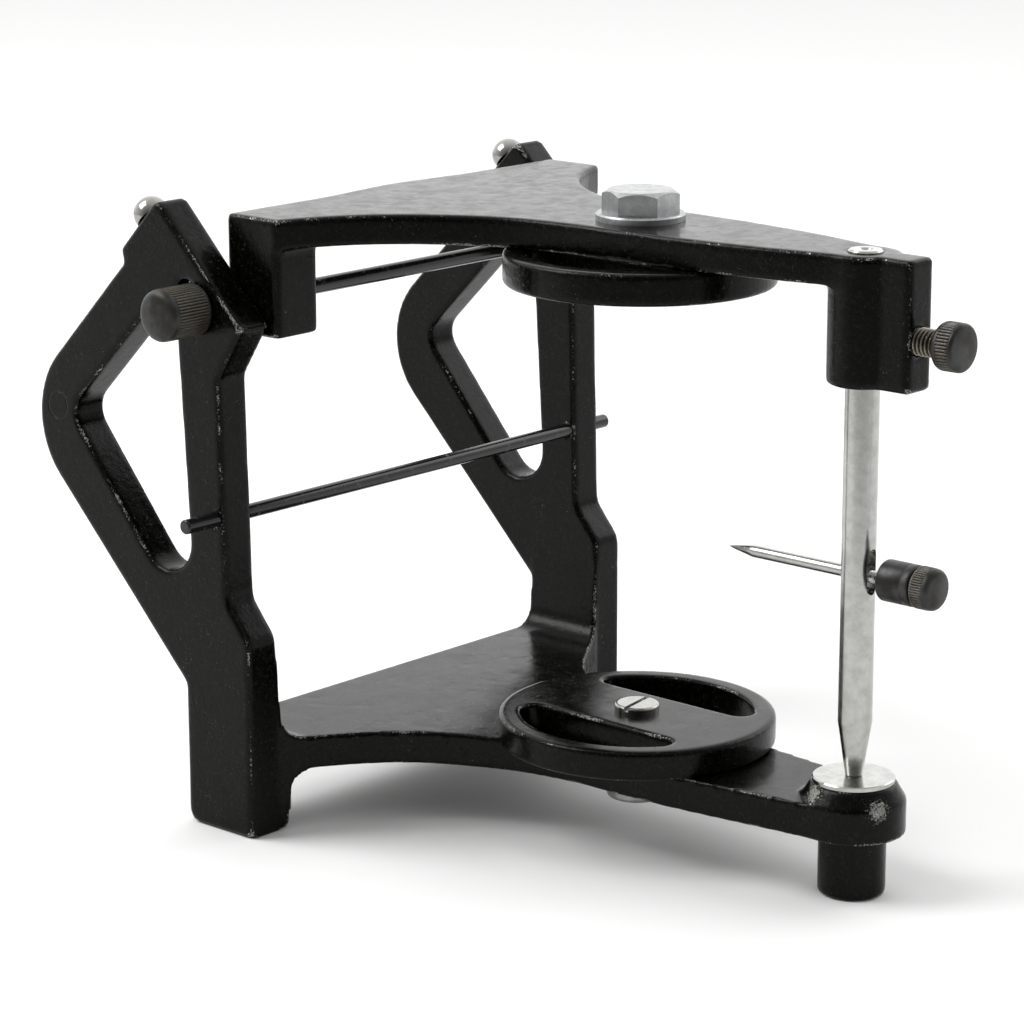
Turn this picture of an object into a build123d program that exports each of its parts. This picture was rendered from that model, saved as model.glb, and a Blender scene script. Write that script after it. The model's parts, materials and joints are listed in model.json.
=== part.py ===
from build123d import *
import os
from math import cos, radians, sin, sqrt

os.makedirs("parts", exist_ok=True)

# A mean-value dental articulator.  Millimetres.  The origin is the centre of the front
# foot's lower face, on the axis of the incisal pin: +X is the right side, +Y points to
# the rear, where the hinge is, and +Z points up.

# ---------------------------------------------------------------- driving dimensions
# Uprights of the lower frame
upright_outer = 51.8          # |X| of an upright's outer face
upright_thick = 7.3
head_top_z = 116.2            # top corner of the diamond-shaped condylar head
head_shift = 2.8              # its place: y = z + this, square to the slot's slope
leg_front_y = 97.4
leg_rear_y = 114.3
strut_y = 103.4               # front face of the straight strut
window_radii = (5.0, 4.4, 6.4)
leg_inner = 42.3              # |X| of a leg's inner face, below the base plate
leg_draft_z = 35.0            # where a leg starts to thicken inwards
casting_round = 0.7           # worn edge of every painted casting

# Base plate and arm of the lower frame
web_bottom_z = 11.35
web_thick = 6.15
web_rear_y = 114.6
web_flare = 4.5               # fillet where the plate runs into an upright
boss_r = 9.3                  # front boss that carries the incisal table

# Hinge axis at rest, and the slots that guide it
axle_y, axle_z = 109.0, 97.4
axle_r = 1.5
axle_half_length = 57.5
slot_r = 2.4
slot_travel = 3.9
slot_slope = 45.0             # degrees, rearwards and up
spring_bore_r = 2.0

# Spring screw with its round head
spring_screw_tip = 11.5       # distance from the rest axis, along the slope
spring_ball_r = 3.3
spring_ball_rise = 0.9        # centre of the ball above the head's rear face

# Coil spring behind the axle
spring_wire_r = 0.25
spring_coil_r = 1.4
spring_turns = 7

# Knurled axle knob
knob_r = 4.75
knob_gap = 0.2                # running gap to the upright
knob_length = 9.9
knob_lip = 0.5                # bevel at its inner end
knob_dome = 3.2               # length of its rounded end
knob_bore_end = 0.3           # space beyond the end of the axle
shoulder_r = 2.35
shoulder_end_x = 45.1

# Cross rod that marks the occlusal plane
cross_rod_y, cross_rod_z = 105.2, 59.3
cross_rod_r = 1.35
cross_rod_left, cross_rod_right = -59.4, 56.0

# Mounting plates
plate_axis_y = 49.2
lower_plate_r, lower_plate_thick = 25.4, 5.5
upper_plate_r, upper_plate_thick = 24.5, 5.8
plate_rim = 4.0
plate_round = 0.8
crossbar_half = 9.2
cutout_corner_r = 2.6

# Upper frame
upper_top_z = 113.7
upper_bottom_z = 108.2
upper_rear_y = 109.3
upper_bulge_y = 111.2         # middle of the rear edge, which bulges between the lugs
bulge_half = 22.0             # half the bulge's width
lug_outer_x, lug_inner_x = 43.9, 33.3
lug_front_y = 96.4
lug_bottom_z = 92.1
lug_corner_r = 1.2
lug_flare = 3.0               # fillet between a lug and the bar
knuckle_r = 3.9
knuckle_inset = 0.6
pin_boss_r = 6.3
pin_boss_bottom_z = 91.0
nose_half, nose_front_y = 3.4, -11.7
nose_corner_r = 0.9

# Bolt, washer and lower plate screw
bolt_r = 4.0
bolt_head_flats = 12.0
bolt_head_turn = 5.0          # degrees
bolt_head_z = (115.0, 119.1)
bolt_tip_z = 103.1
washer_r = 8.0
screw_r = 2.5
screw_head_r = 4.1
screw_head_height = 1.4
screw_slot_angle = 10.0       # degrees from +X
screw_slot_width, screw_slot_depth = 0.9, 0.8
hole_play = 0.2               # radial play of a bolt or screw in its through hole
nut_r = 5.5
nut_bottom_z = 6.6

# Incisal table, front foot and incisal pin
table_r = 7.25
table_top_z = 21.4
table_disc = 0.8
table_spigot_r, table_spigot_length = 3.0, 3.8
foot_r = 6.0
foot_spigot_r, foot_spigot_length = 4.0, 2.8
spigot_end_gap = 0.2
pin_r = 3.0
pin_top_z = 114.1
pin_taper_z = 31.2
pin_tip_r = 1.5
pin_chamfer = 0.3
pin_gap = 0.05

# Clamp screw of the incisal pin
clamp_z = 99.8
clamp_r = 2.45
clamp_knob_r = 4.2
clamp_knob_y = (-15.9, -20.8)
clamp_knob_bevel = 0.9

# Incisal pointer, in a slot through the pin
pointer_z = 57.7
pointer_r = 1.1
pointer_shoulder_r = 1.5
pointer_shoulder_y = (-0.45, 2.4)
pointer_tip_y = 28.1
pointer_cone = 5.5
pointer_slot_low, pointer_slot_high = 54.4, 62.5
pointer_slot_r = 1.2
pointer_slot_step_y = -0.5    # where the slot widens for the shoulder
collar_r = 3.65
collar_y = (-5.9, -12.6)
pointer_knob_r = 3.7
pointer_knob_y = (-12.9, -17.0)

running = 0.05                # radial clearance of everything that turns or slides
close_fit = 0.02              # radial clearance of a fixed part in its hole

# ---------------------------------------------------------------- worked-out values
upright_inner = upright_outer - upright_thick
upright_mid = upright_outer - upright_thick / 2
web_top_z = web_bottom_z + web_thick
slope_y, slope_z = cos(radians(slot_slope)), sin(radians(slot_slope))
head_top_y = head_top_z + head_shift
face_distance = (head_top_y + head_top_z - axle_y - axle_z) / sqrt(2)
sides = {"left": -1, "right": 1}


def along_slot(distance):
    """Point in (y, z), this far from the rest axis along the slot's slope."""
    return (axle_y + distance * slope_y, axle_z + distance * slope_z)


def slope_plane(side, distance):
    """Plane square to the slot's slope, in the middle of one upright."""
    y, z = along_slot(distance)
    return Plane(origin=(side * upright_mid, y, z), x_dir=(1, 0, 0), z_dir=(0, slope_y, slope_z))


def axle_plane(x):
    """Plane square to the hinge axis; its normal is +X."""
    return Plane(origin=(x, axle_y, axle_z), x_dir=(0, 1, 0), z_dir=(1, 0, 0))


def is_flat_x(edge):
    """True for an edge that lies in a plane square to X."""
    return edge.bounding_box().size.X < 1e-4


def rims_at(part, height):
    """Level edges of a part at this height."""
    return part.edges().filter_by(Plane.XY).filter_by_position(Axis.Z, height - 0.01, height + 0.01)


def finish(part, name):
    """Label one finished piece and write it."""
    part.label = name
    export_step(part, f"parts/{name}.step")


# ---------------------------------------------------------------- outlines
# Outline of an upright in (y, z): each corner with its fillet radius.
upright_outline = [
    (leg_front_y, 0, 1.2),
    (leg_rear_y, 0, 2.6),
    (leg_rear_y, 26.6, 2.0),
    (159.6, 72.1, 16.4),
    (128.3, 103.4, 0.8),
    (128.9, 106.0, 1.2),
    (head_top_y, head_top_z, 1.6),
    (97.65, 94.85, 0.8),
    (strut_y + 0.5, 85.1, 2.0),
    (strut_y - 0.5, 43.9, 4.0),
    (leg_front_y, 37.3, 4.0),
]

# Corners of the triangular window: top, rear, bottom.
window_outline = [(115.1, 102.3), (144.2, 73.8), (111.2, 35.3)]

# Half of the base plate's cross-section in (x, z), with the inner side of a leg.
web_outline = [
    (0, web_bottom_z, 0),
    (leg_inner, web_bottom_z, web_flare),
    (leg_inner + 0.3, 0, 2.4),
    (upright_outer - 1.2, 0, 0),
    (upright_outer - 1.2, leg_draft_z, 0),
    (upright_inner + 0.1, leg_draft_z, 0),
    (upright_inner - 0.9, web_top_z, web_flare),
    (0, web_top_z, 0),
]

# Front edge of the base plate, from an upright's front corner to the arm.
web_front = [(44.8, leg_front_y), (35.0, 91.6), (24.8, 82.6), (18.2, 71.0), (13.6, 54.0)]
arm_edge = [(12.9, 36.0), (11.8, 24.0), (10.1, 11.0), (boss_r, 0)]

# Front edge of the upper frame, from a lug to the arm.
upper_front = [(lug_outer_x, lug_front_y), (32.0, 90.6), (23.0, 82.2), (16.8, 72.6), (12.6, 57.0)]
upper_arm = [(11.9, 44.0), (11.2, 31.0), (7.6, 8.0)]


def plate_disc(radius, thickness, bottom_z, hole_r):
    """Round mounting plate: a rim and a crossbar between two D-shaped cut-outs."""
    with BuildPart() as disc:
        with BuildSketch(Plane.XY.offset(bottom_z)):
            with Locations((0, plate_axis_y)):
                Circle(radius)
        extrude(amount=thickness)
        fillet(disc.edges().filter_by(GeomType.CIRCLE), radius=plate_round)
        with BuildSketch(Plane.XY.offset(bottom_z)):
            with Locations((0, plate_axis_y)):
                Circle(radius - plate_rim)
                Rectangle(2 * crossbar_half, 2 * radius, mode=Mode.SUBTRACT)
                Circle(hole_r)
        extrude(amount=thickness, mode=Mode.SUBTRACT)
        corners = disc.edges().filter_by(Axis.Z).filter_by(lambda e: abs(e.center().X) > crossbar_half - 1)
        fillet(corners, radius=cutout_corner_r)
    return disc


# ---------------------------------------------------------------- lower frame
# Plan of the base plate, the arm and the front boss.
with BuildPart() as web_plan:
    with BuildSketch(Plane.XY):
        with BuildLine():
            front = Spline(*web_front, tangents=[(-1, -0.45), (-0.12, -1)])
            arm = Spline(front @ 1, *arm_edge, tangents=[(-0.12, -1), (0, -1)])
            Polyline(arm @ 1, (0, 0), (0, web_rear_y), (upright_outer - 1, web_rear_y),
                     (upright_outer - 1, leg_front_y), front @ 0)
        make_face()
        mirror(about=Plane.YZ)
        Circle(boss_r)
    extrude(amount=leg_draft_z + 1)

# Cross-section of the base plate between the uprights, flared into each of them.
with BuildPart() as web_section:
    with BuildSketch(Plane.XZ.offset(-web_rear_y)):
        with BuildLine():
            FilletPolyline(*[(x, z) for x, z, r in web_outline],
                           radius=[r for x, z, r in web_outline], close=True)
        make_face()
        mirror(about=Plane.YZ)
    extrude(amount=web_rear_y + 2 * boss_r)
    add(web_plan.part, mode=Mode.INTERSECT)

with BuildPart() as lower_frame:
    for side in sides.values():
        with BuildSketch(Plane.YZ.offset(side * upright_mid - upright_thick / 2)):
            with BuildLine():
                FilletPolyline(*[(y, z) for y, z, r in upright_outline],
                               radius=[r for y, z, r in upright_outline], close=True)
            make_face()
            with BuildLine():
                FilletPolyline(*window_outline, radius=window_radii, close=True)
            make_face(mode=Mode.SUBTRACT)
        extrude(amount=upright_thick)
    fillet(lower_frame.edges().filter_by(is_flat_x), radius=casting_round)
    add(web_section.part)

    # Front boss: a drum under a cone, with sockets for the foot and the table
    with BuildSketch(Plane.XY.offset(web_bottom_z)):
        Circle(boss_r)
    extrude(amount=web_thick)
    with BuildSketch(Plane.XY.offset(web_top_z)):
        Circle(boss_r)
    with BuildSketch(Plane.XY.offset(table_top_z - table_disc)):
        Circle(table_r + 0.2)
    loft()
    with BuildSketch(Plane.XY.offset(web_bottom_z)):
        Circle(foot_spigot_r + running)
    extrude(amount=foot_spigot_length + spigot_end_gap, mode=Mode.SUBTRACT)
    with BuildSketch(Plane.XY.offset(table_top_z - table_disc)):
        Circle(table_spigot_r + running)
    extrude(amount=-table_spigot_length - spigot_end_gap, mode=Mode.SUBTRACT)

    # Screw hole for the lower mounting plate
    with BuildSketch(Plane.XY.offset(web_bottom_z)):
        with Locations((0, plate_axis_y)):
            Circle(screw_r + hole_play)
    extrude(amount=web_thick, mode=Mode.SUBTRACT)

    # Condylar slots, spring bores and the holes of the cross rod
    slot_y, slot_z = along_slot(slot_travel / 2)
    for side in sides.values():
        with BuildSketch(Plane(origin=(side * upright_mid, slot_y, slot_z),
                               x_dir=(0, slope_y, slope_z), z_dir=(1, 0, 0))):
            SlotCenterToCenter(slot_travel, 2 * slot_r)
        extrude(amount=upright_thick, both=True, mode=Mode.SUBTRACT)
        with BuildSketch(slope_plane(side, slot_travel)):
            Circle(spring_bore_r)
        extrude(amount=face_distance, mode=Mode.SUBTRACT)
        with BuildSketch(Plane(origin=(side * upright_mid, cross_rod_y, cross_rod_z), z_dir=(1, 0, 0))):
            Circle(cross_rod_r + close_fit)
        extrude(amount=upright_thick, both=True, mode=Mode.SUBTRACT)
finish(lower_frame.part, "lower_frame")

# ---------------------------------------------------------------- front foot and incisal table
with BuildPart() as front_foot:
    with BuildSketch(Plane.XY):
        Circle(foot_r)
    extrude(amount=web_bottom_z)
    fillet(front_foot.edges().sort_by(Axis.Z)[0], radius=0.9)
    with BuildSketch(Plane.XY.offset(web_bottom_z)):
        Circle(foot_spigot_r)
    extrude(amount=foot_spigot_length)
finish(front_foot.part, "front_foot")

with BuildPart() as incisal_table:
    with BuildSketch(Plane.XY.offset(table_top_z - table_disc)):
        Circle(table_r)
    extrude(amount=table_disc)
    chamfer(incisal_table.edges().sort_by(Axis.Z)[-1], length=0.2)
    with BuildSketch(Plane.XY.offset(table_top_z - table_disc)):
        Circle(table_spigot_r)
    extrude(amount=-table_spigot_length)
finish(incisal_table.part, "incisal_table")

# ---------------------------------------------------------------- lower mounting plate and its screw
lower_mounting_plate = plate_disc(lower_plate_r, lower_plate_thick, web_top_z, screw_r + hole_play)
finish(lower_mounting_plate.part, "lower_mounting_plate")

screw_seat_z = web_top_z + lower_plate_thick
with BuildPart() as lower_plate_screw:
    with BuildSketch(Plane.XY.offset(screw_seat_z)):
        with Locations((0, plate_axis_y)):
            Circle(screw_head_r)
    extrude(amount=screw_head_height)
    fillet(lower_plate_screw.edges().sort_by(Axis.Z)[-1], radius=0.5)
    with BuildSketch(Plane.XY.offset(screw_seat_z + screw_head_height)):
        with Locations(Location((0, plate_axis_y), screw_slot_angle)):
            Rectangle(3 * screw_head_r, screw_slot_width)
    extrude(amount=-screw_slot_depth, mode=Mode.SUBTRACT)
    with BuildSketch(Plane.XY.offset(screw_seat_z)):
        with Locations((0, plate_axis_y)):
            Circle(screw_r)
    extrude(amount=nut_bottom_z + 0.6 - screw_seat_z)
finish(lower_plate_screw.part, "lower_plate_screw")

with BuildPart() as lower_plate_nut:
    with BuildSketch(Plane.XY.offset(nut_bottom_z)):
        with Locations((0, plate_axis_y)):
            Circle(nut_r)
            Circle(screw_r + close_fit, mode=Mode.SUBTRACT)
    extrude(amount=web_bottom_z - nut_bottom_z)
    fillet(lower_plate_nut.edges().group_by(Axis.Z)[0].sort_by(SortBy.RADIUS)[-1], radius=0.8)
finish(lower_plate_nut.part, "lower_plate_nut")

# ---------------------------------------------------------------- cross rod
with BuildPart() as cross_rod:
    with BuildSketch(Plane(origin=(cross_rod_left, cross_rod_y, cross_rod_z), z_dir=(1, 0, 0))):
        Circle(cross_rod_r)
    extrude(amount=cross_rod_right - cross_rod_left)
    fillet(cross_rod.edges().filter_by(GeomType.CIRCLE), radius=0.4)
finish(cross_rod.part, "cross_rod")

# ---------------------------------------------------------------- spring screws and springs
for name, side in sides.items():
    with BuildPart() as spring_screw:
        y, z = along_slot(face_distance + spring_ball_rise)
        with Locations((side * upright_mid, y, z)):
            Sphere(spring_ball_r)
        split(bisect_by=slope_plane(side, face_distance + 0.05), keep=Keep.TOP)
        with BuildSketch(slope_plane(side, spring_screw_tip)):
            Circle(spring_bore_r - running)
        extrude(amount=face_distance - spring_screw_tip + 1)
    finish(spring_screw.part, f"spring_screw_{name}")

    spring_start = shoulder_r + running + spring_wire_r
    spring_length = spring_screw_tip - spring_start - spring_wire_r
    coil_pitch = spring_length / spring_turns
    with BuildPart() as condylar_spring:
        with BuildLine():
            y, z = along_slot(spring_start)
            wire = Helix(coil_pitch, spring_length, spring_coil_r, center=(side * upright_mid, y, z),
                         direction=(0, slope_y, slope_z))
        with BuildSketch(Plane(origin=wire @ 0, z_dir=wire % 0)):
            Circle(spring_wire_r)
        sweep(path=wire, is_frenet=True)
    finish(condylar_spring.part, f"condylar_spring_{name}")

# ---------------------------------------------------------------- hinge axle
with BuildPart() as condylar_axle:
    with BuildSketch(axle_plane(-axle_half_length)):
        Circle(axle_r)
    extrude(amount=2 * axle_half_length)
    chamfer(condylar_axle.edges().filter_by(GeomType.CIRCLE), length=0.3)
finish(condylar_axle.part, "condylar_axle")

# ---------------------------------------------------------------- knurled axle knobs
knob_start = upright_outer + knob_gap
knob_end = knob_start + knob_length
for name, side in sides.items():
    with BuildPart() as axle_knob:
        with BuildSketch(Plane(origin=(0, axle_y, axle_z), x_dir=(side, 0, 0), z_dir=(0, 1, 0))):
            with BuildLine():
                Polyline((shoulder_end_x, axle_r + running), (shoulder_end_x, shoulder_r),
                         (knob_start, shoulder_r), (knob_start, knob_r - knob_lip),
                         (knob_start + knob_lip, knob_r), (knob_end - knob_dome, knob_r))
                Bezier((knob_end - knob_dome, knob_r), (knob_end - 0.6, knob_r), (knob_end, knob_r - 2),
                       (knob_end, 0))
                Polyline((knob_end, 0), (axle_half_length + knob_bore_end, 0),
                         (axle_half_length + knob_bore_end, axle_r + running),
                         (shoulder_end_x, axle_r + running))
            make_face()
        revolve(axis=Axis((0, axle_y, axle_z), (1, 0, 0)))
    finish(axle_knob.part, f"axle_knob_{name}")

# ---------------------------------------------------------------- upper frame
with BuildPart() as upper_frame:
    # Plan: a rear bar, a waisted arm and a round end with a square nose
    with BuildSketch(Plane.XY.offset(upper_bottom_z)) as plan:
        with BuildLine():
            front = Spline(*upper_front, tangents=[(-1, -0.4), (-0.12, -1)])
            arm = Spline(front @ 1, *upper_arm, (pin_boss_r, 0), tangents=[(-0.12, -1), (0, -1)])
            Polyline(arm @ 1, (0, 0), (0, upper_bulge_y))
            Spline((0, upper_bulge_y), (bulge_half, upper_rear_y), tangents=[(1, 0), (1, 0)])
            Polyline((bulge_half, upper_rear_y), (lug_outer_x, upper_rear_y), front @ 0)
        make_face()
        mirror(about=Plane.YZ)
        Circle(pin_boss_r)
        with Locations((0, nose_front_y / 2)):
            Rectangle(2 * nose_half, -nose_front_y)
        fillet(plan.vertices().filter_by(lambda v: abs(v.X) > lug_outer_x - 1), radius=lug_corner_r)
        fillet(plan.vertices().filter_by(lambda v: v.Y < nose_front_y + 1), radius=nose_corner_r)
    extrude(amount=upper_top_z - upper_bottom_z)
    fillet(rims_at(upper_frame, upper_top_z), radius=casting_round)

    # Lugs, each with a rear knuckle round the axle and a flare under the bar
    lug_thick = lug_outer_x - lug_inner_x
    for side in sides.values():
        lug_mid = side * (lug_outer_x + lug_inner_x) / 2
        with BuildSketch(Plane.XY.offset(lug_bottom_z)):
            with Locations((lug_mid, (lug_front_y + upper_rear_y) / 2)):
                RectangleRounded(lug_thick, upper_rear_y - lug_front_y, lug_corner_r)
        extrude(amount=upper_top_z - 1 - lug_bottom_z)
        with BuildSketch(axle_plane(lug_mid - lug_thick / 2 + knuckle_inset)):
            Circle(knuckle_r)
        extrude(amount=lug_thick - 2 * knuckle_inset)
        corner = (side * (lug_inner_x - lug_flare), upper_bottom_z - lug_flare)
        with BuildSketch(Plane.XZ.offset(lug_corner_r - upper_rear_y)):
            with Locations(corner):
                Rectangle(2 * lug_flare + 0.2, 2 * lug_flare + 0.2)
                Circle(lug_flare, mode=Mode.SUBTRACT)
            with Locations((corner[0] - side * lug_flare, corner[1])):
                Rectangle(2 * lug_flare, 5 * lug_flare, mode=Mode.SUBTRACT)
            with Locations((corner[0], corner[1] - lug_flare)):
                Rectangle(5 * lug_flare, 2 * lug_flare, mode=Mode.SUBTRACT)
        extrude(amount=upper_rear_y - lug_front_y - 2 * lug_corner_r)

    # Pin boss and its nose
    with BuildSketch(Plane.XY.offset(pin_boss_bottom_z)) as boss_plan:
        Circle(pin_boss_r)
        with Locations((0, nose_front_y / 2)):
            Rectangle(2 * nose_half, -nose_front_y)
        fillet(boss_plan.vertices().filter_by(lambda v: v.Y < nose_front_y + 1), radius=nose_corner_r)
    extrude(amount=upper_top_z - 1 - pin_boss_bottom_z)
    for level in (lug_bottom_z, pin_boss_bottom_z):
        fillet(rims_at(upper_frame, level), radius=casting_round)

    # Bores: incisal pin, clamp screw, plate bolt, axle
    with Locations((0, 0, upper_top_z)):
        Hole(pin_r + running)
    with Locations((0, plate_axis_y, upper_top_z)):
        Hole(bolt_r + hole_play)
    with BuildSketch(Plane(origin=(0, 0, clamp_z), z_dir=(0, -1, 0))):
        Circle(clamp_r + running)
    extrude(amount=pin_boss_r - nose_front_y, mode=Mode.SUBTRACT)
    with BuildSketch(axle_plane(0)):
        Circle(axle_r + running)
    extrude(amount=axle_half_length, both=True, mode=Mode.SUBTRACT)
finish(upper_frame.part, "upper_frame")

# ---------------------------------------------------------------- upper mounting plate, bolt and washer
upper_mounting_plate = plate_disc(upper_plate_r, upper_plate_thick, upper_bottom_z - upper_plate_thick,
                                  bolt_r + close_fit)
finish(upper_mounting_plate.part, "upper_mounting_plate")

with BuildPart() as plate_washer:
    with BuildSketch(Plane.XY.offset(upper_top_z)):
        with Locations((0, plate_axis_y)):
            Circle(washer_r)
            Circle(bolt_r + hole_play, mode=Mode.SUBTRACT)
    extrude(amount=bolt_head_z[0] - upper_top_z)
    chamfer(plate_washer.edges().group_by(Axis.Z)[-1].sort_by(SortBy.RADIUS)[-1], length=0.3)
finish(plate_washer.part, "plate_washer")

with BuildPart() as plate_bolt:
    head_height = bolt_head_z[1] - bolt_head_z[0]
    with BuildSketch(Plane.XY.offset(bolt_head_z[0])):
        with Locations((0, plate_axis_y)):
            RegularPolygon(bolt_head_flats / 2, 6, major_radius=False, rotation=bolt_head_turn)
    extrude(amount=head_height)
    corner_r = bolt_head_flats / sqrt(3)
    with BuildSketch(Plane(origin=(0, plate_axis_y, bolt_head_z[0]), x_dir=(1, 0, 0), z_dir=(0, -1, 0))):
        with BuildLine():
            Polyline((0, 0), (corner_r + 0.1, 0), (corner_r + 0.1, head_height - 0.9),
                     (bolt_head_flats / 2 - 0.3, head_height), (0, head_height), (0, 0))
        make_face()
    revolve(axis=Axis((0, plate_axis_y, 0), (0, 0, 1)), mode=Mode.INTERSECT)
    with BuildSketch(Plane.XY.offset(bolt_head_z[0])):
        with Locations((0, plate_axis_y)):
            Circle(bolt_r)
    extrude(amount=bolt_tip_z - bolt_head_z[0])
finish(plate_bolt.part, "plate_bolt")

# ---------------------------------------------------------------- incisal pin
with BuildPart() as incisal_pin:
    with BuildSketch(Plane.XZ):
        with BuildLine():
            Polyline((0, table_top_z + pin_gap), (pin_tip_r, table_top_z + pin_gap), (pin_r, pin_taper_z),
                     (pin_r, pin_top_z - pin_chamfer), (pin_r - pin_chamfer, pin_top_z),
                     (0, pin_top_z), close=True)
        make_face()
    revolve(axis=Axis.Z)
    # Slot for the pointer: narrow at the front, wide at the rear for its shoulder
    slot_height = pointer_slot_high - pointer_slot_low
    slot_mid_z = (pointer_slot_high + pointer_slot_low) / 2
    wide_slot_r = pointer_shoulder_r + pointer_slot_r - pointer_r
    for depth, radius in ((-pin_r - 1, pointer_slot_r), (pin_r + 1, wide_slot_r)):
        with BuildSketch(Plane(origin=(0, pointer_slot_step_y, slot_mid_z), x_dir=(0, 0, 1),
                               z_dir=(0, 1, 0))):
            SlotOverall(slot_height + 2 * (radius - pointer_slot_r), 2 * radius)
        extrude(amount=depth, mode=Mode.SUBTRACT)
finish(incisal_pin.part, "incisal_pin")

# ---------------------------------------------------------------- clamp screw
with BuildPart() as clamp_screw:
    with BuildSketch(Plane.YZ):
        with BuildLine():
            back, front_end = clamp_knob_y
            Polyline((-pin_r - pin_gap, clamp_z), (-pin_r - pin_gap, clamp_z + clamp_r - 0.4),
                     (-pin_r - pin_gap - 0.4, clamp_z + clamp_r), (back, clamp_z + clamp_r),
                     (back, clamp_z + clamp_knob_r - clamp_knob_bevel),
                     (back - clamp_knob_bevel, clamp_z + clamp_knob_r),
                     (front_end + 1.0, clamp_z + clamp_knob_r))
            Bezier((front_end + 1.0, clamp_z + clamp_knob_r), (front_end + 0.2, clamp_z + clamp_knob_r),
                   (front_end, clamp_z + 2.5), (front_end, clamp_z))
            Line((front_end, clamp_z), (-pin_r - pin_gap, clamp_z))
        make_face()
    revolve(axis=Axis((0, 0, clamp_z), (0, 1, 0)))
finish(clamp_screw.part, "clamp_screw")

# ---------------------------------------------------------------- incisal pointer, collar and knob
with BuildPart() as pointer_rod:
    with BuildSketch(Plane.YZ):
        with BuildLine():
            Polyline((pointer_knob_y[0] - 2.5, pointer_z), (pointer_knob_y[0] - 2.5, pointer_z + pointer_r),
                     (pointer_shoulder_y[0], pointer_z + pointer_r),
                     (pointer_shoulder_y[0], pointer_z + pointer_shoulder_r),
                     (pointer_shoulder_y[1], pointer_z + pointer_shoulder_r),
                     (pointer_shoulder_y[1], pointer_z + pointer_r),
                     (pointer_tip_y - pointer_cone, pointer_z + pointer_r),
                     (pointer_tip_y, pointer_z + 0.1), (pointer_tip_y, pointer_z), close=True)
        make_face()
    revolve(axis=Axis((0, 0, pointer_z), (0, 1, 0)))
finish(pointer_rod.part, "pointer_rod")

with BuildPart() as pointer_collar:
    with BuildSketch(Plane(origin=(0, collar_y[0], pointer_z), z_dir=(0, -1, 0))):
        Circle(collar_r)
        Circle(pointer_r + close_fit, mode=Mode.SUBTRACT)
    extrude(amount=collar_y[0] - collar_y[1])
    rims = pointer_collar.edges().filter_by(GeomType.CIRCLE).filter_by(lambda e: e.radius > 2)
    fillet(rims, radius=0.4)
finish(pointer_collar.part, "pointer_collar")

with BuildPart() as pointer_knob:
    with BuildSketch(Plane.YZ):
        with BuildLine():
            back, front_end = pointer_knob_y
            Polyline((back, pointer_z + pointer_r + running), (back, pointer_z + pointer_knob_r - 0.3),
                     (back - 0.3, pointer_z + pointer_knob_r), (front_end + 0.9, pointer_z + pointer_knob_r))
            Bezier((front_end + 0.9, pointer_z + pointer_knob_r),
                   (front_end + 0.2, pointer_z + pointer_knob_r), (front_end, pointer_z + 2.2),
                   (front_end, pointer_z))
            Polyline((front_end, pointer_z), (back - 2.6, pointer_z),
                     (back - 2.6, pointer_z + pointer_r + running),
                     (back, pointer_z + pointer_r + running))
        make_face()
    revolve(axis=Axis((0, 0, pointer_z), (0, 1, 0)))
finish(pointer_knob.part, "pointer_knob")
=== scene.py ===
"""Looks for a dental articulator: enamelled castings, knurled knobs, bright pins and fasteners."""
import json
import math

import bmesh
import bpy
import numpy as np
from mathutils import Matrix, Vector, noise


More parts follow.
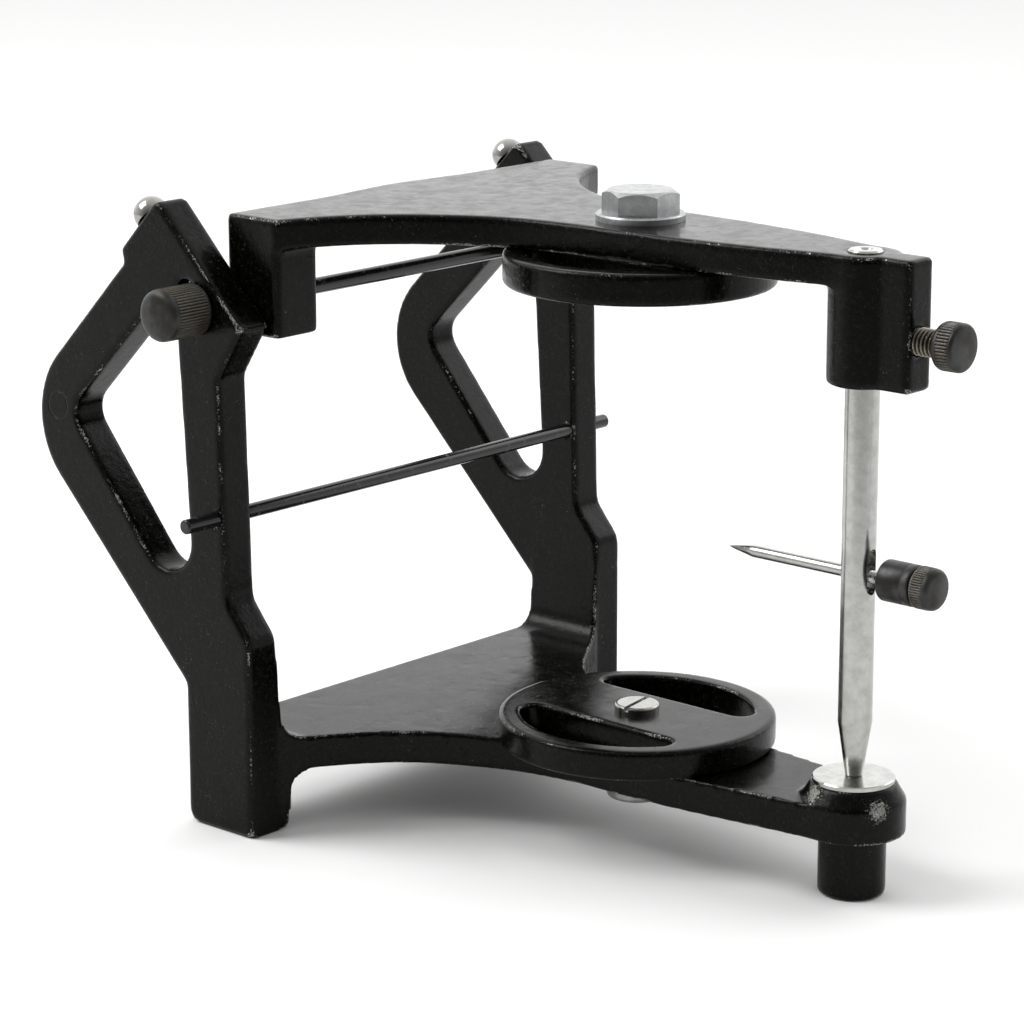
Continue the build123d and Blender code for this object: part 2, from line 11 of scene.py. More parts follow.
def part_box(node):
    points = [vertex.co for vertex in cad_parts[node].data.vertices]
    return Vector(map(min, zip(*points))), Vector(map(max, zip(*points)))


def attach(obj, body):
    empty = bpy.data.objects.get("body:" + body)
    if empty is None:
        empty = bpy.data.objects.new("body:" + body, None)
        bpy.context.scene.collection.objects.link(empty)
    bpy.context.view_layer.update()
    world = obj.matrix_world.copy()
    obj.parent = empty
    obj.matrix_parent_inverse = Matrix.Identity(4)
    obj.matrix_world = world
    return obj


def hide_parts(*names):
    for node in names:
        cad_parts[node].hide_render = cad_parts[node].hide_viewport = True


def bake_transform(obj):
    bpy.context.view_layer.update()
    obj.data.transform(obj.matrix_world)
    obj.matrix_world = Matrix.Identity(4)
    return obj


MM = 0.001
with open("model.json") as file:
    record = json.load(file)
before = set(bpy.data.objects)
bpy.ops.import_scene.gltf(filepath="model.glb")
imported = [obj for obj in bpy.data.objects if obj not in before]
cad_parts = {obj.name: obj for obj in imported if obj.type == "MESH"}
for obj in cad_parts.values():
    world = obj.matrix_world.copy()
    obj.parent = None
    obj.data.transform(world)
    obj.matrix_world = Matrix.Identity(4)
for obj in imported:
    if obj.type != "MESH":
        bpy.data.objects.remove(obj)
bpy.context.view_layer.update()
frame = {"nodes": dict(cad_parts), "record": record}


# ------------------------------------------------------------------ node trees
class Paint:
    """A Principled material, with short calls that add the nodes of its pattern."""

    def __init__(self, name, **sockets):
        self.material = bpy.data.materials.new(name)
        self.material.use_nodes = True
        self.tree = self.material.node_tree
        self.shader = self.tree.nodes["Principled BSDF"]
        for socket, value in sockets.items():
            self.set(socket, value)
        place = self.tree.nodes.new("ShaderNodeTexCoord")
        self.place = place.outputs["Object"]
        self.direction = place.outputs["Normal"]

    def set(self, socket, value):
        """Set or link one input of the shader; underscores stand for spaces."""
        self.fill(self.shader.inputs[socket.replace("_", " ")], value)

    def fill(self, socket, value):
        """Link a socket, or give it a constant."""
        if isinstance(value, bpy.types.NodeSocket):
            self.tree.links.new(value, socket)
        elif isinstance(value, tuple) and len(value) == 3 and socket.type == "RGBA":
            socket.default_value = (*value, 1)
        else:
            socket.default_value = value

    def node(self, kind, settings, inputs, output=0):
        """Add a node, fill its inputs by name or number, and return one output."""
        added = self.tree.nodes.new("ShaderNode" + kind)
        for key, value in settings.items():
            setattr(added, key, value)
        for key, value in inputs.items():
            self.fill(added.inputs[key], value)
        return added.outputs[output]

    def math(self, operation, a, b=0.0):
        """One number from two."""
        return self.node("Math", {"operation": operation}, {0: a, 1: b})

    def stretched(self, scale):
        """The place scaled by (x, y, z), for a pattern with a direction."""
        return self.node("VectorMath", {"operation": "MULTIPLY"}, {0: self.place, 1: scale})

    def noise(self, size, detail=2.0, roughness=0.5, place=None, offset=0.0):
        """Soft noise whose features are about this size, in metres."""
        where = place or self.place
        if offset:
            where = self.node("VectorMath", {"operation": "ADD"}, {0: where, 1: (offset, offset, offset)})
        return self.node("TexNoise", {}, {"Vector": where, "Scale": 1 / size, "Detail": detail,
                                          "Roughness": roughness})

    def swing(self, noise, amount):
        """A noise turned into a number about 0."""
        return self.math("MULTIPLY", self.math("SUBTRACT", noise, 0.5), amount)

    def step(self, value, low, high, out_low=0.0, out_high=1.0):
        """Clamped ramp: out_low below low, out_high above high."""
        return self.node("MapRange", {"interpolation_type": "SMOOTHSTEP"},
                         {"Value": value, "From Min": low, "From Max": high,
                          "To Min": out_low, "To Max": out_high})

    def blend(self, factor, a, b):
        """Mix of two colours."""
        return self.node("MixRGB", {}, {"Fac": factor, "Color1": a, "Color2": b})

    def mix(self, factor, a, b):
        """Mix of two numbers."""
        return self.node("Mix", {"data_type": "FLOAT"}, {"Factor": factor, 2: a, 3: b})

    def edge(self, reach):
        """Above 0 near a convex edge, 0 on a flat or hollow surface; reach in metres."""
        seen = self.node("AmbientOcclusion", {"inside": True, "only_local": True, "samples": 8},
                         {"Distance": reach}, "AO")
        return self.math("SUBTRACT", 1.0, seen)

    def ridge(self, low, high):
        """0 on a flat surface and 1 along a rounded ridge of an evenly meshed piece."""
        return self.step(self.node("NewGeometry", {}, {}, "Pointiness"), low, high)

    def along(self, axis):
        """Distance of the place along an axis."""
        return self.node("VectorMath", {"operation": "DOT_PRODUCT"}, {0: self.place, 1: axis}, "Value")

    def near(self, places, radius, ragged):
        """1 within this radius of any of the places, with a ragged outline."""
        spots = 0.0
        for place in places:
            distance = self.math("ADD", self.away(place), ragged)
            spots = self.math("MAXIMUM", self.step(distance, radius, 0.7 * radius), spots)
        return spots

    def away(self, place):
        """Distance from a place."""
        return self.node("VectorMath", {"operation": "DISTANCE"}, {0: self.place, 1: place}, "Value")

    def level_face(self):
        """1 on a face that lies level in the part's frame, 0 on an upright one."""
        height = self.node("SeparateXYZ", {}, {0: self.direction}, "Z")
        return self.step(self.math("ABSOLUTE", height), 0.75, 0.97)

    def bump(self, height, depth, below=None):
        """A bump whose height of 1 stands this far out, in metres."""
        inputs = {"Height": height, "Distance": depth, "Strength": 1.0}
        if below:
            inputs["Normal"] = below
        return self.node("Bump", {}, inputs)


# ------------------------------------------------------------------ materials
# Places of marks on the castings
chips = [(-7.6 * MM, 2.9 * MM, 19.3 * MM), (-3.9 * MM, -8.3 * MM, 17.6 * MM)]   # on the front boss
chip_radius = 1.7 * MM
chip_raggedness = 9 * MM
plug = (-51.8 * MM, 147.6 * MM, 74.3 * MM)     # casting mark on the outside of the left upright
plug_radius = 2.6 * MM
head_slope = 2.8 * MM         # y - z on the sloping front face of the condylar heads
head_foot_z = 93 * MM


def enamel(name):
    """Glossy black enamel on a casting: orange peel, pits, specks, and edges worn to the metal."""
    p = Paint(name, Specular_IOR_Level=0.12)
    fine = p.noise(0.3 * MM, detail=4.0, roughness=0.7)

    # Wear along the ridges, in patches, and a little more on the front edges of the heads
    patch = p.noise(7 * MM, detail=5.0, roughness=0.65)
    rub = p.math("MULTIPLY", p.ridge(0.506, 0.55), p.step(patch, 0.40, 0.66, 0.45, 1.25))
    slope = p.math("ABSOLUTE", p.math("ADD", p.along((0, 1, -1)), -head_slope))
    head_edge = p.math("MULTIPLY", p.step(slope, 2.2 * MM, 1.0 * MM),
                       p.step(p.along((0, 0, 1)), head_foot_z, head_foot_z + 2 * MM))
    rub = p.math("MINIMUM", p.math("MULTIPLY", p.mix(head_edge, 1.0, 1.15), rub), 0.84)
    worn = p.step(p.math("ADD", rub, p.swing(fine, 2.4)), 0.70, 1.05)

    # Specks all over, in clusters, and the two chips
    dots = p.step(p.noise(0.32 * MM, detail=2.0, roughness=0.6, offset=4.4), 0.66, 0.74)
    clusters = p.step(p.noise(5 * MM, detail=4.0, roughness=0.7, offset=3.1), 0.5, 0.68, 0.1, 1.0)
    speck = p.math("MULTIPLY", p.math("MULTIPLY", dots, clusters), 0.55)
    ragged = p.swing(p.noise(0.5 * MM, detail=5.0, roughness=0.8), chip_raggedness)
    chipped = p.math("MULTIPLY", p.near(chips, chip_radius, ragged), p.step(fine, 0.38, 0.52, 0.25, 1.0))
    bare = p.math("MAXIMUM", p.math("MAXIMUM", worn, chipped), speck)

    # Colour and gloss
    dusty = p.step(p.noise(0.8 * MM, detail=6.0, roughness=0.75, offset=9.1), 0.48, 0.74, 0.0, 0.7)
    black = p.blend(dusty, (0.0008, 0.0011, 0.0004), (0.0140, 0.0148, 0.0108))
    metal = p.blend(fine, (0.11, 0.105, 0.095), (0.50, 0.49, 0.46))
    p.set("Base Color", p.blend(bare, black, metal))
    p.set("Metallic", p.math("MULTIPLY", bare, 0.8))
    gloss = p.step(p.noise(3 * MM, detail=6.0, roughness=0.65, offset=1.7), 0.3, 0.72, 0.15, 0.27)
    p.set("Roughness", p.mix(bare, gloss, 0.40))

    # Relief: level faces are smoother than upright ones
    level = p.level_face()
    relief = p.bump(p.noise(1.1 * MM, detail=4.0, roughness=0.65), p.mix(level, 0.06 * MM, 0.008 * MM))
    relief = p.bump(p.noise(7 * MM, detail=2.0), p.mix(level, 0.06 * MM, 0.035 * MM), relief)
    pits = p.step(p.noise(0.8 * MM, detail=3.0, roughness=0.6, offset=5.3), 0.36, 0.27)
    relief = p.bump(pits, -0.06 * MM, relief)
    off_ring = p.math("ABSOLUTE", p.math("SUBTRACT", p.away(plug), plug_radius))
    relief = p.bump(p.step(off_ring, 0.22 * MM, 0.08 * MM), -0.12 * MM, relief)
    p.set("Normal", p.bump(bare, -0.03 * MM, relief))
    return p.material


def black_rod(name):
    """Smooth black finish on a drawn rod."""
    p = Paint(name, Specular_IOR_Level=0.45)
    scuff = p.step(p.noise(2.5 * MM, detail=5.0, roughness=0.7), 0.58, 0.70)
    p.set("Base Color", p.blend(scuff, (0.006, 0.006, 0.006), (0.05, 0.05, 0.048)))
    p.set("Roughness", p.mix(scuff, 0.2, 0.42))
    p.set("Normal", p.bump(p.noise(1.2 * MM), 0.012 * MM))
    return p.material


def oxide(name, crest_colour):
    """Satin black oxide on turned steel, rubbed to a dull brown on its crests."""
    p = Paint(name, Specular_IOR_Level=0.5)
    grain = p.noise(0.35 * MM, detail=3.0, roughness=0.6)
    crest = p.step(p.math("ADD", p.edge(0.5 * MM), p.swing(grain, 0.3)), 0.22, 0.50)
    cloud = p.step(p.noise(4 * MM, detail=4.0), 0.35, 0.65)
    base = p.blend(cloud, (0.022, 0.0195, 0.016), (0.05, 0.051, 0.051))
    p.set("Base Color", p.blend(crest, base, crest_colour))
    p.set("Metallic", p.mix(crest, 0.75, 0.9))
    p.set("Roughness", p.step(grain, 0.3, 0.7, 0.34, 0.5))
    p.set("Normal", p.bump(grain, 0.006 * MM))
    return p.material


def steel(name, light, dark, roughness, metallic=1.0):
    """Bare or plated steel: mottled tone, faint turning marks and uneven gloss."""
    p = Paint(name, Metallic=metallic)
    tone = p.step(p.noise(2.2 * MM, detail=6.0, roughness=0.7), 0.25, 0.75)
    p.set("Base Color", p.blend(tone, dark, light))
    p.set("Roughness", p.step(p.noise(1.1 * MM, detail=4.0, offset=2.3), 0.3, 0.72, *roughness))
    turning_marks = p.noise(0.8 * MM, detail=2.0, place=p.stretched((1.0, 1.0, 14.0)))
    p.set("Normal", p.bump(turning_marks, 0.004 * MM))
    return p.material


finishes = {
    "black_casting": enamel("black_enamel"),
    "black_rod": black_rod("black_drawn_rod"),
    "black_oxide": oxide("black_oxide_turned", (0.34, 0.30, 0.235)),
    "bare_steel": steel("satin_steel", (0.49, 0.49, 0.47), (0.36, 0.36, 0.34), (0.17, 0.26)),
    "zinc_plate": steel("zinc_plate_steel", (0.44, 0.445, 0.45), (0.30, 0.305, 0.31), (0.26, 0.40),
                        metallic=0.75),
    "nickel_plate": steel("bright_nickel", (0.38, 0.375, 0.355), (0.29, 0.285, 0.27), (0.08, 0.16)),
    "spring_steel": steel("spring_wire_steel", (0.55, 0.55, 0.55), (0.40, 0.40, 0.40), (0.22, 0.3)),
}

bodies = {node: body for body, nodes in frame["record"]["behaviour"]["bodies"].items() for node in nodes}
slots = {part["node"]: part["material_slot"] for part in frame["record"]["subparts"]}
for name, material_slot in slots.items():
    node = frame["nodes"][name]
    node.data.materials.clear()
    node.data.materials.append(finishes[material_slot])


# ------------------------------------------------------------------ building pieces
def add_piece(name, verts, faces):
    """A mesh object from its points and faces, with all faces turned outwards."""
    mesh = bpy.data.meshes.new(name)
    mesh.from_pydata(verts, [], faces)
    shell = bmesh.new()
    shell.from_mesh(mesh)
    bmesh.ops.recalc_face_normals(shell, faces=shell.faces)
    shell.to_mesh(mesh)
    shell.free()
    piece = bpy.data.objects.new(name, mesh)
    bpy.context.scene.collection.objects.link(piece)
    return piece


def turned(name, origin, axis, profile, segments=96, shape=None):
    """A closed piece turned about an axis, from (distance along the axis, radius) pairs that
    start and end on the axis. shape(distance, angle, radius) may change a radius."""
    along = Vector(axis).normalized()
    side = along.orthogonal().normalized()
    other = along.cross(side)
    verts = [origin + along * profile[0][0]]
    for distance, radius in profile[1:-1]:
        for step in range(segments):
            angle = 2 * math.pi * step / segments
            r = shape(distance, angle, radius) if shape else radius
            verts.append(origin + along * distance + (side * math.cos(angle) + other * math.sin(angle)) * r)
    verts.append(origin + along * profile[-1][0])
    faces = []
    for step in range(segments):
        following = (step + 1) % segments
        faces.append((0, 1 + following, 1 + step))
        for ring in range(len(profile) - 3):
            first = 1 + ring * segments
            faces.append((first + step, first + following,
                          first + segments + following, first + segments + step))
        last = 1 + (len(profile) - 3) * segments
        faces.append((last + step, last + following, len(verts) - 1))
    return add_piece(name, verts, faces)


def smooth(piece, degrees):
    """Smooth shading, with edges sharper than this kept crisp."""
    bpy.ops.object.select_all(action="DESELECT")
    piece.select_set(True)
    bpy.context.view_layer.objects.active = piece
    bpy.ops.object.shade_smooth_by_angle(angle=math.radians(degrees))


def dress(piece, node, sharp):
    """The piece is shown in place of a CAD node, with the same finish."""
    slot = slots[node]
    piece.data.materials.clear()
    piece.data.materials.append(finishes[slot])
    smooth(piece, sharp)
    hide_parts(node)


def stand_for(piece, node, sharp=32):
    """The piece stands for a CAD node: same body and same finish."""
    dress(piece, node, sharp)
    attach(piece, bodies[node])


def applied(piece):
    """Apply every modifier of the piece to its mesh."""
    evaluated = piece.evaluated_get(bpy.context.evaluated_depsgraph_get())
    mesh = bpy.data.meshes.new_from_object(evaluated)
    piece.modifiers.clear()
    piece.data = mesh
    return piece


def arc(centre, radii, start, end, steps):
    """Points of an elliptical arc in (distance, radius); angles in degrees."""
    angles = [math.radians(start + (end - start) * i / steps) for i in range(steps + 1)]
    return [(centre[0] + radii[0] * math.cos(a), centre[1] + radii[1] * math.sin(a)) for a in angles]


def evenly(start, end, radius, steps):
    """Rings of one radius, evenly spaced."""
    return [(start + (end - start) * i / steps, radius) for i in range(steps + 1)]


def knurl(start, end, count, depth):
    """Shape for turned(): straight ridges between two distances."""
    def shape(distance, angle, radius):
        if not start < distance < end:
            return radius
        return radius - depth * (1 - abs(math.sin(angle * count / 2))) ** 1.3
    return shape


def thread(start, end, pitch, depth):
    """Shape for turned(): a helical thread between two distances."""
    def shape(distance, angle, radius):
        if not start < distance < end:
            return radius
        phase = (distance / pitch + angle / (2 * math.pi)) % 1
        run_out = min(1, (distance - start) / pitch, (end - distance) / pitch)
        return radius - depth * run_out * abs(2 * phase - 1) ** 1.2
    return shape


def both(first, second):
    """Two shapes for turned(), one after the other."""
    return lambda distance, angle, radius: second(distance, angle, first(distance, angle, radius))


# ------------------------------------------------------------------ knurled knobs and screws
def middle(node):
    """Middle of a CAD node's box."""
    low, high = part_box(node)
    return (low + high) / 2


def knob_body(base, end, radius, lip, crown, start_radius):
    """Profile of a knob from its base: lip, straight drum and rim line, up to where its rounded end begins.
    """
    drum_end = end - crown
    profile = [(base, start_radius)]
    profile += arc((base + lip, radius - lip), (lip, lip), 180, 90, 4)
    profile += [(base + lip + 0.2 * MM, radius)]
    profile += evenly(base + lip + 0.35 * MM, drum_end - 0.35 * MM, radius, 3)
    profile += [(drum_end - 0.2 * MM, radius), (drum_end - 0.1 * MM, radius - 0.05 * MM),
                (drum_end, radius - 0.03 * MM)]
    return profile


def axle_knob(name, side):
    """Knob screwed on to the hinge axle: shoulder, knurled drum and smooth domed end."""
    low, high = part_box(name)
    outer = max(abs(low.x), abs(high.x))
    inner = min(abs(low.x), abs(high.x))
    radius = (high.z - low.z) / 2
    length, crown = 9.9 * MM, 1.8 * MM
    base = outer - length
    shoulder, bore = 2.35 * MM, 1.55 * MM
    bore_end = base + 6.1 * MM
    ridges, ridge_depth = 52, 0.26 * MM
    origin = Vector((0, middle(name).y, middle(name).z))
    profile = [(bore_end, 0), (bore_end, bore), (inner, bore), (inner, shoulder), (base, shoulder)]
    profile += knob_body(base, outer, radius, 0.5 * MM, crown, radius - 0.6 * MM)
    profile += arc((outer - 1.7 * MM, radius - 1.9 * MM), (1.5 * MM, 1.87 * MM), 88, 14, 9)
    profile += [(outer - 0.12 * MM, radius - 2.6 * MM), (outer - 0.03 * MM, radius - 3.7 * MM), (outer, 0)]
    piece = turned(name + "_knurled", origin, (side, 0, 0), profile, segments=8 * ridges,
                   shape=knurl(base + 0.75 * MM, outer - crown - 0.3 * MM, ridges, ridge_depth))
    stand_for(piece, name)


for side, name in ((-1, "axle_knob_left"), (1, "axle_knob_right")):
    axle_knob(name, side)


def clamp_screw():
    """Screw that clamps the incisal pin: a fine thread and a short knurled knob."""
    name = "clamp_screw"
    low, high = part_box(name)
    radius = (high.x - low.x) / 2
    origin = Vector((0, 0, middle(name).z))
    tip, front = -high.y, -low.y
    back = front - 4.9 * MM      # rear of the knob
    core = 2.45 * MM
    thread_pitch, thread_depth = 0.8 * MM, 0.5 * MM
    ridges, ridge_depth = 44, 0.24 * MM
    profile = [(tip, 0), (tip, core - 0.4 * MM), (tip + 0.4 * MM, core)]
    profile += evenly(tip + 0.5 * MM, back - 0.1 * MM, core, 140)
    profile += [(back, core - 0.35 * MM)]
    profile += arc((back + 1.2 * MM, radius - 1.75 * MM), (1.2 * MM, 1.75 * MM), 178, 90, 7)
    profile += [(back + 1.3 * MM, radius)]
    profile += evenly(back + 1.45 * MM, front - 1.15 * MM, radius, 3)
    profile += [(front - 1.0 * MM, radius), (front - 0.9 * MM, radius - 0.04 * MM)]
    profile += arc((front - 0.85 * MM, radius - 0.8 * MM), (0.6 * MM, 0.78 * MM), 88, 10, 6)
    profile += [(front - 0.12 * MM, radius - 2.0 * MM), (front - 0.03 * MM, radius - 3.2 * MM), (front, 0)]
    shape = both(thread(tip + 0.6 * MM, back, thread_pitch, thread_depth),
                 knurl(back + 1.4 * MM, front - 1.1 * MM, ridges, ridge_depth))
    piece = turned(name + "_knurled", origin, (0, -1, 0), profile, segments=6 * ridges, shape=shape)
    stand_for(piece, name)


clamp_screw()


def pointer_knob():
    """Short knurled nut at the front of the pointer, with a smooth domed face."""
    name = "pointer_knob"
    low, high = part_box(name)
    radius = (high.x - low.x) / 2
    origin = Vector((0, 0, middle(name).z))
    back, front = -high.y, -low.y
    bore, bore_end = 1.15 * MM, back + 2.6 * MM
    ridges, ridge_depth = 50, 0.17 * MM
    profile = [(bore_end, 0), (bore_end, bore), (back, bore), (back, radius - 0.45 * MM)]
    profile += arc((back + 0.3 * MM, radius - 0.3 * MM), (0.3 * MM, 0.3 * MM), 170, 90, 4)
    profile += evenly(back + 0.45 * MM, front - 1.6 * MM, radius, 3)
    profile += [(front - 1.45 * MM, radius - 0.05 * MM), (front - 1.35 * MM, radius - 0.05 * MM)]
    profile += arc((front - 1.2 * MM, radius - 1.15 * MM), (0.95 * MM, 1.08 * MM), 88, 10, 7)
    profile += [(front - 0.08 * MM, radius - 2.2 * MM), (front, 0)]
    piece = turned(name + "_knurled", origin, (0, -1, 0), profile, segments=6 * ridges,
                   shape=knurl(back + 0.4 * MM, front - 1.55 * MM, ridges, ridge_depth))
    stand_for(piece, name)


def pointer_collar():
    """Plain collar behind the knob, with rounded ends and a faint turned line."""
    name = "pointer_collar"
    low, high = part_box(name)
    radius = (high.x - low.x) / 2
    origin = Vector((0, 0, middle(name).z))
    back, front = -high.y, -low.y
    bore = 1.12 * MM
    lip = 0.45 * MM
    line, line_depth, line_half = back + 5.1 * MM, 0.04 * MM, 0.1 * MM
    rings = arc((back + lip, radius - lip), (lip, lip), 180, 90, 5)
    rings += [(line - line_half, radius), (line, radius - line_depth), (line + line_half, radius)]
    rings += arc((front - lip, radius - lip), (lip, lip), 90, 0, 5)
    rings += [(front, bore), (back, bore)]
    count = 128
    verts = [origin + Vector((r * math.cos(a), -d, r * math.sin(a)))
             for d, r in rings for a in (2 * math.pi * i / count for i in range(count))]
    faces = [(ring * count + i, ring * count + (i + 1) % count,
              (ring + 1) % len(rings) * count + (i + 1) % count, (ring + 1) % len(rings) * count + i)
             for ring in range(len(rings)) for i in range(count)]
    stand_for(add_piece(name + "_turned", verts, faces), name)


def pointer_rod():
    """Pointer: needle tip, polished shaft, shoulder inside the pin and threaded front end."""
    name = "pointer_rod"
    low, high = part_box(name)
    origin = Vector((0, 0, middle(name).z))
    tip, end = high.y, low.y
    radius, shoulder, point = 1.1 * MM, 1.5 * MM, 0.09 * MM
    needle = 5.5 * MM
    shoulder_back, shoulder_front = 2.4 * MM, -0.45 * MM
    thread_start, thread_pitch, thread_depth = -2.4 * MM, 0.5 * MM, 0.2 * MM
    profile = [(tip, 0), (tip - 0.05 * MM, point)]
    profile += [(tip - needle * t, point + (radius - point) * t ** 0.93) for t in (0.2, 0.4, 0.6, 0.8)]
    profile += [(tip - needle, radius), (tip - needle - 0.4 * MM, radius),
                (shoulder_back, radius), (shoulder_back, shoulder),
                (shoulder_front, shoulder), (shoulder_front, radius)]
    profile += evenly(-1.2 * MM, end + 0.3 * MM, radius, 150)
    profile += [(end, radius - 0.25 * MM), (end, 0)]
    cut = thread(-thread_start, -end, thread_pitch, thread_depth)
    piece = turned(name + "_polished", origin, (0, 1, 0), profile, segments=64,
                   shape=lambda distance, angle, radius: cut(-distance, angle, radius))
    stand_for(piece, name)


pointer_knob()
pointer_collar()
pointer_rod()


def spring_screw(name):
    """Screw behind each spring, with a bright ball for a head."""
    low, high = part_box(name)
    radius = (high.x - low.x) / 2
    ball = Vector((middle(name).x, high.y - radius, high.z - radius))
    shank = 1.95 * MM
    slope = Vector((0, 1, 1)).normalized()
    tip = (low.y - ball.y) / slope.y + shank
    cut = -0.85 * MM
    rim = math.degrees(math.asin(-cut / radius))
    profile = [(tip, 0), (tip, shank - 0.3 * MM), (tip + 0.3 * MM, shank), (cut, shank),
               (cut, radius * math.cos(math.radians(rim)) - 0.3 * MM)]
    profile += [(radius * math.sin(math.radians(a)), radius * math.cos(math.radians(a)))
                for a in (-rim + 3 + i * (90 + rim - 4) / 26 for i in range(27))]
    profile += [(radius, 0)]
    stand_for(turned(name + "_ball", ball, slope, profile, segments=96), name, sharp=40)


def condylar_spring(name, turns=7, wire=0.25 * MM, coil=1.4 * MM, sides=10, steps=40):
    """Compression spring with closed ends."""
    slope = Vector((0, 1, 1)).normalized()
    side, other = Vector((1, 0, 0)), Vector((0, -1, 1)).normalized()
    low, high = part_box(name)
    length = (high.y - low.y - 2 * wire) / slope.y - 2 * coil
    foot = middle(name) - slope * length / 2
    dead = 0.8                   # turns at each end that nearly touch
    dead_rise = 1.9 * wire * dead
    verts, faces = [], []
    for step in range(turns * steps + 1):
        turn = step / steps
        rise = np.interp(turn, (0, dead, turns - dead, turns), (0, dead_rise, length - dead_rise, length))
        angle = 2 * math.pi * turn
        out = side * math.cos(angle) + other * math.sin(angle)
        for k in range(sides):
            about = 2 * math.pi * k / sides
            verts.append(foot + slope * (rise + wire * math.sin(about))
                         + out * (coil + wire * math.cos(about)))
    for step in range(turns * steps):
        for k in range(sides):
            first, second = step * sides + k, step * sides + (k + 1) % sides
            faces.append((first, second, second + sides, first + sides))
    faces.append(tuple(range(sides)))
    faces.append(tuple(range(turns * steps * sides, (turns * steps + 1) * sides)))
    piece = add_piece(name + "_coil", verts, faces)
    dress(piece, name, sharp=60)
    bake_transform(piece)


for side_name in ("left", "right"):
    spring_screw("spring_screw_" + side_name)
    condylar_spring("condylar_spring_" + side_name)


def incisal_pin():
    """Bright pin: centre hole in its top, blunt tapered tip, and the slot for the pointer."""
    name = "incisal_pin"
    low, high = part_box(name)
    radius = (high.x - low.x) / 2
    tip_radius = radius / 2
    taper_end = low.z + 9.75 * MM
    profile = [(low.z, 0), (low.z, tip_radius - 0.12 * MM), (low.z + 0.12 * MM, tip_radius),
               (taper_end - 0.3 * MM, radius - 0.06 * MM), (taper_end + 0.1 * MM, radius)]
    profile += [(high.z - 0.3 * MM, radius), (high.z, radius - 0.3 * MM), (high.z, 1.35 * MM),
                (high.z - 0.25 * MM, 1.05 * MM), (high.z - 1.6 * MM, 0)]
    piece = turned(name + "_bright", Vector((0, 0, 0)), (0, 0, 1), profile, segments=128)
    slot_low, slot_high = 54.4 * MM, 62.5 * MM
    lift = 1.2 * MM              # from the slot's end to the centre of its rounding
    front_slot, rear_slot = (1.2 * MM, (-4 * MM, 0.2 * MM)), (1.6 * MM, (-0.5 * MM, 4 * MM))
    for slot_radius, reach in (front_slot, rear_slot):
        outline = [(slot_radius * math.cos(a), (slot_high - lift if a < math.pi else slot_low + lift)
                    + slot_radius * math.sin(a)) for a in (2 * math.pi * i / 48 for i in range(48))]
        count = len(outline)
        verts = [(x, y, z) for y in reach for x, z in outline]
        faces = [(i, (i + 1) % count, count + (i + 1) % count, count + i) for i in range(count)]
        faces += [tuple(range(count)), tuple(range(count, 2 * count))]
        cutter = add_piece("slot_cutter", verts, faces)
        cut = piece.modifiers.new("slot", "BOOLEAN")
        cut.operation = "DIFFERENCE"
        cut.object = cutter
        applied(piece)
        bpy.data.objects.remove(cutter)
    stand_for(piece, name)


incisal_pin()


# ------------------------------------------------------------------ castings
bore_reach = 0.3 * MM            # how far from a bore's wall a point belongs to it


def keep_bore(points, bore):
    """Move the points beside a bore on to its wall. A slot has a travel, from its one end to
    its other; a round bore's travel is nothing."""
    origin, axis, radius, travel = bore
    away = points - origin
    away -= np.outer(away @ axis, axis)
    if travel.any():
        away -= np.outer(np.clip(away @ travel / (travel @ travel), 0, 1), travel)
    distance = np.linalg.norm(away, axis=1)
    beside = (distance > 0) & (distance < radius + bore_reach)
    points[beside] += away[beside] * (radius / distance[beside] - 1)[:, None]


def unevenness(point):
    """Depth of a casting's surface at a point: a slow swell and scattered dimples."""
    swell = noise.noise(point / (7 * MM))
    dimple = max(0.0, noise.noise(point / (2.3 * MM)) - 0.35)
    return 0.04 * MM * (0.5 - 0.5 * swell) + 0.06 * MM * dimple


def casting(name, cell=0.5 * MM, soften=4, bores=()):
    """Skin of a casting: the CAD surface meshed evenly, with softened edges, faces that are
    slightly uneven, and bores that keep their size."""
    piece = bpy.data.objects.new(name + "_cast", frame["nodes"][name].data.copy())
    bpy.context.scene.collection.objects.link(piece)
    even = piece.modifiers.new("even", "REMESH")
    even.mode = "VOXEL"
    even.voxel_size = cell
    rounded = piece.modifiers.new("soften", "SMOOTH")
    rounded.factor = 0.5
    rounded.iterations = soften
    applied(piece)
    vertices = piece.data.vertices
    points = np.empty(len(vertices) * 3)
    normals = np.empty(len(vertices) * 3)
    vertices.foreach_get("co", points)
    piece.data.vertex_normals.foreach_get("vector", normals)
    points, normals = points.reshape(-1, 3), normals.reshape(-1, 3)
    depths = np.array([unevenness(Vector(point)) for point in points])
    points -= normals * depths[:, None]
    for bore in bores:
        keep_bore(points, bore)
    vertices.foreach_set("co", points.ravel())
    piece.data.update()
    stand_for(piece, name, sharp=60)


def bore_at(origin, axis, radius, travel=(0, 0, 0)):
    """A bore that casting() keeps."""
    return np.array(origin, float), np.array(axis, float), radius, np.array(travel, float)


axle = middle("condylar_axle")
rod = middle("cross_rod")
slot_travel = Vector((0, 1, 1)).normalized() * 3.9 * MM
casting("front_foot", cell=0.42 * MM, soften=2)
casting("lower_frame", bores=[
    bore_at((0, axle.y, axle.z), (1, 0, 0), 2.4 * MM, slot_travel),
    bore_at((0, rod.y, rod.z), (1, 0, 0), 1.37 * MM),
])
casting("upper_frame", bores=[
    bore_at((0, axle.y, axle.z), (1, 0, 0), 1.55 * MM),
    bore_at((0, 0, 0), (0, 0, 1), 3.05 * MM),
])
for name in ("lower_mounting_plate", "upper_mounting_plate"):
    casting(name, cell=0.42 * MM, soften=3)


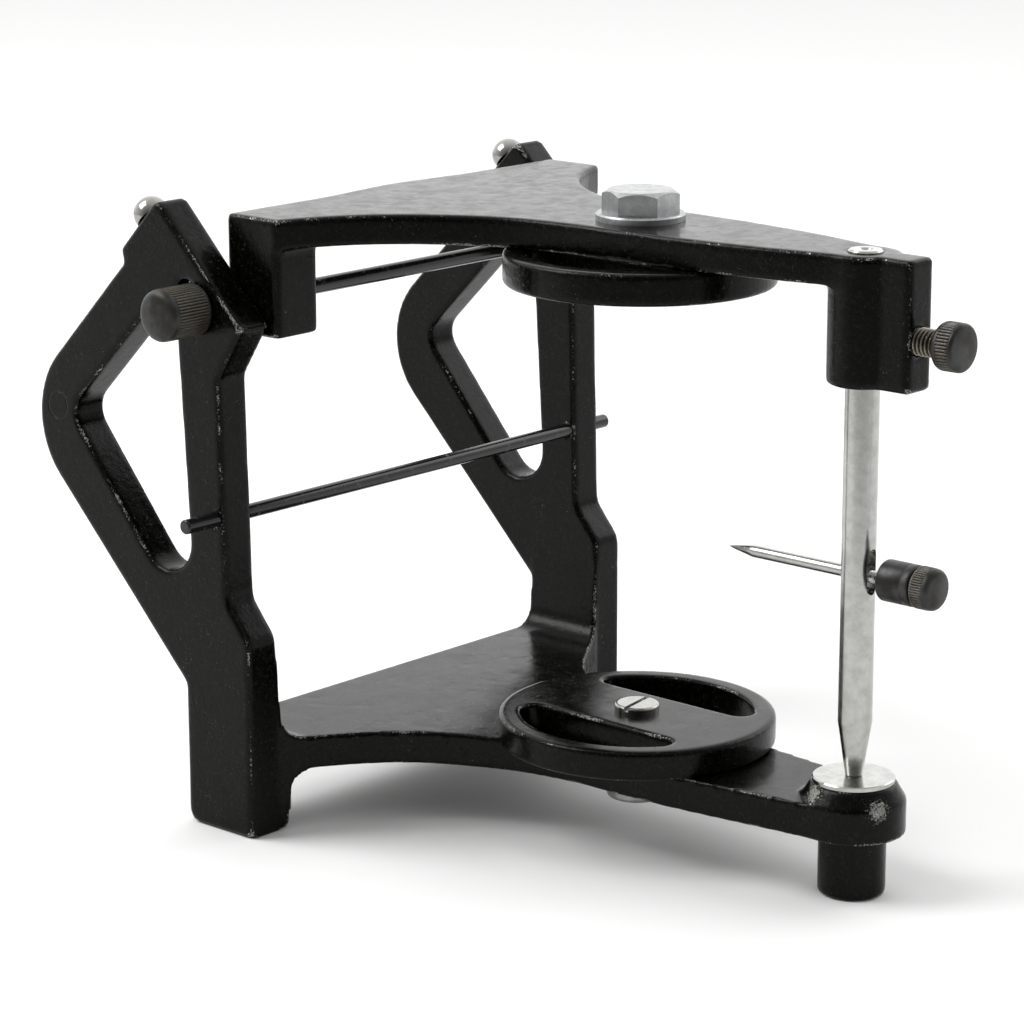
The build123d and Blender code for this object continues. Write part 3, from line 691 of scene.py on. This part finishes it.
# ------------------------------------------------------------------ camera
# Three-quarter view from the front left
camera_data = bpy.data.cameras.new("camera")
camera_data.lens = 122.76
camera_data.sensor_width = 36
camera_data.clip_start = 0.01
camera = bpy.data.objects.new("camera", camera_data)
heading, pitch, roll = math.radians(47.97), math.radians(-14.275), math.radians(-0.12)
forward = Vector((math.sin(heading) * math.cos(pitch), math.cos(heading) * math.cos(pitch), math.sin(pitch)))
right = forward.cross((0, 0, 1)).normalized()
up = right.cross(forward)
tilted_right = right * math.cos(roll) + up * math.sin(roll)
tilted_up = up * math.cos(roll) - right * math.sin(roll)
camera.matrix_world = Matrix((tilted_right, tilted_up, -forward)).transposed().to_4x4()
camera.location = (-0.46882, -0.34265, 0.215695)
bpy.context.scene.collection.objects.link(camera)
bpy.context.scene.camera = camera


# ------------------------------------------------------------------ studio
def area_light(name, place, target, size, power):
    data = bpy.data.lights.new(name, "AREA")
    data.shape = "RECTANGLE"
    data.size, data.size_y = size
    data.energy = power
    light = bpy.data.objects.new(name, data)
    light.location = place
    light.rotation_euler = (Vector(target) - Vector(place)).to_track_quat("-Z", "Y").to_euler()
    bpy.context.scene.collection.objects.link(light)


centre = (0, 0.06, 0.06)
area_light("key", (-0.55, 0.75, 0.95), centre, (0.7, 0.7), 10.5)
area_light("fill", (0.9, -0.2, 0.6), centre, (0.6, 0.6), 1.8)

floor_mesh = bpy.data.meshes.new("floor")
reach = 4.0
floor_mesh.from_pydata([(-reach, -reach, 0), (reach, -reach, 0), (reach, reach, 0), (-reach, reach, 0)],
                       [], [(0, 1, 2, 3)])
floor = bpy.data.objects.new("floor", floor_mesh)
bpy.context.scene.collection.objects.link(floor)
# White paper with painted shade: darker towards the front and left, where it shows in the gloss
paper = Paint("white_paper_painted_shade", Roughness=0.9, Specular_IOR_Level=0.1)
ahead = paper.along(forward)
aside = paper.along(right + forward / 6)
# Painted shade: the paper's colour falls towards black in front and to the left
painted_light_level = paper.math("MULTIPLY", paper.step(ahead, -0.27, -0.07, 0.6, 1.0),
                 paper.step(aside, -0.45, -0.11, 0.85, 1.0))
paper.set("Base Color", paper.blend(painted_light_level, (0.0, 0.0, 0.0), (0.90, 0.90, 0.895)))
floor_mesh.materials.append(paper.material)

# Soft light all round, brightest behind the part; the backdrop itself is white
world = bpy.data.worlds.new("studio")
world.use_nodes = True
bpy.context.scene.world = world
tree = world.node_tree
background = tree.nodes["Background"]
direction = tree.nodes.new("ShaderNodeTexCoord").outputs["Generated"]
turn = tree.nodes.new("ShaderNodeVectorMath")
turn.operation = "DOT_PRODUCT"
turn.inputs[1].default_value = (forward.x, forward.y, 0.15)
tree.links.new(direction, turn.inputs[0])
level = tree.nodes.new("ShaderNodeMapRange")
for key, value in {"From Min": -0.9, "From Max": 0.9, "To Min": 0.075, "To Max": 1.6}.items():
    level.inputs[key].default_value = value
tree.links.new(turn.outputs["Value"], level.inputs["Value"])
seen = tree.nodes.new("ShaderNodeLightPath").outputs["Is Camera Ray"]
chosen = tree.nodes.new("ShaderNodeMix")
chosen.data_type = "FLOAT"
tree.links.new(seen, chosen.inputs["Factor"])
tree.links.new(level.outputs[0], chosen.inputs[2])
chosen.inputs[3].default_value = 1.0
tree.links.new(chosen.outputs[0], background.inputs["Strength"])
background.inputs["Color"].default_value = (1, 1, 1, 1)
bpy.context.scene.view_settings.view_transform = "Standard"
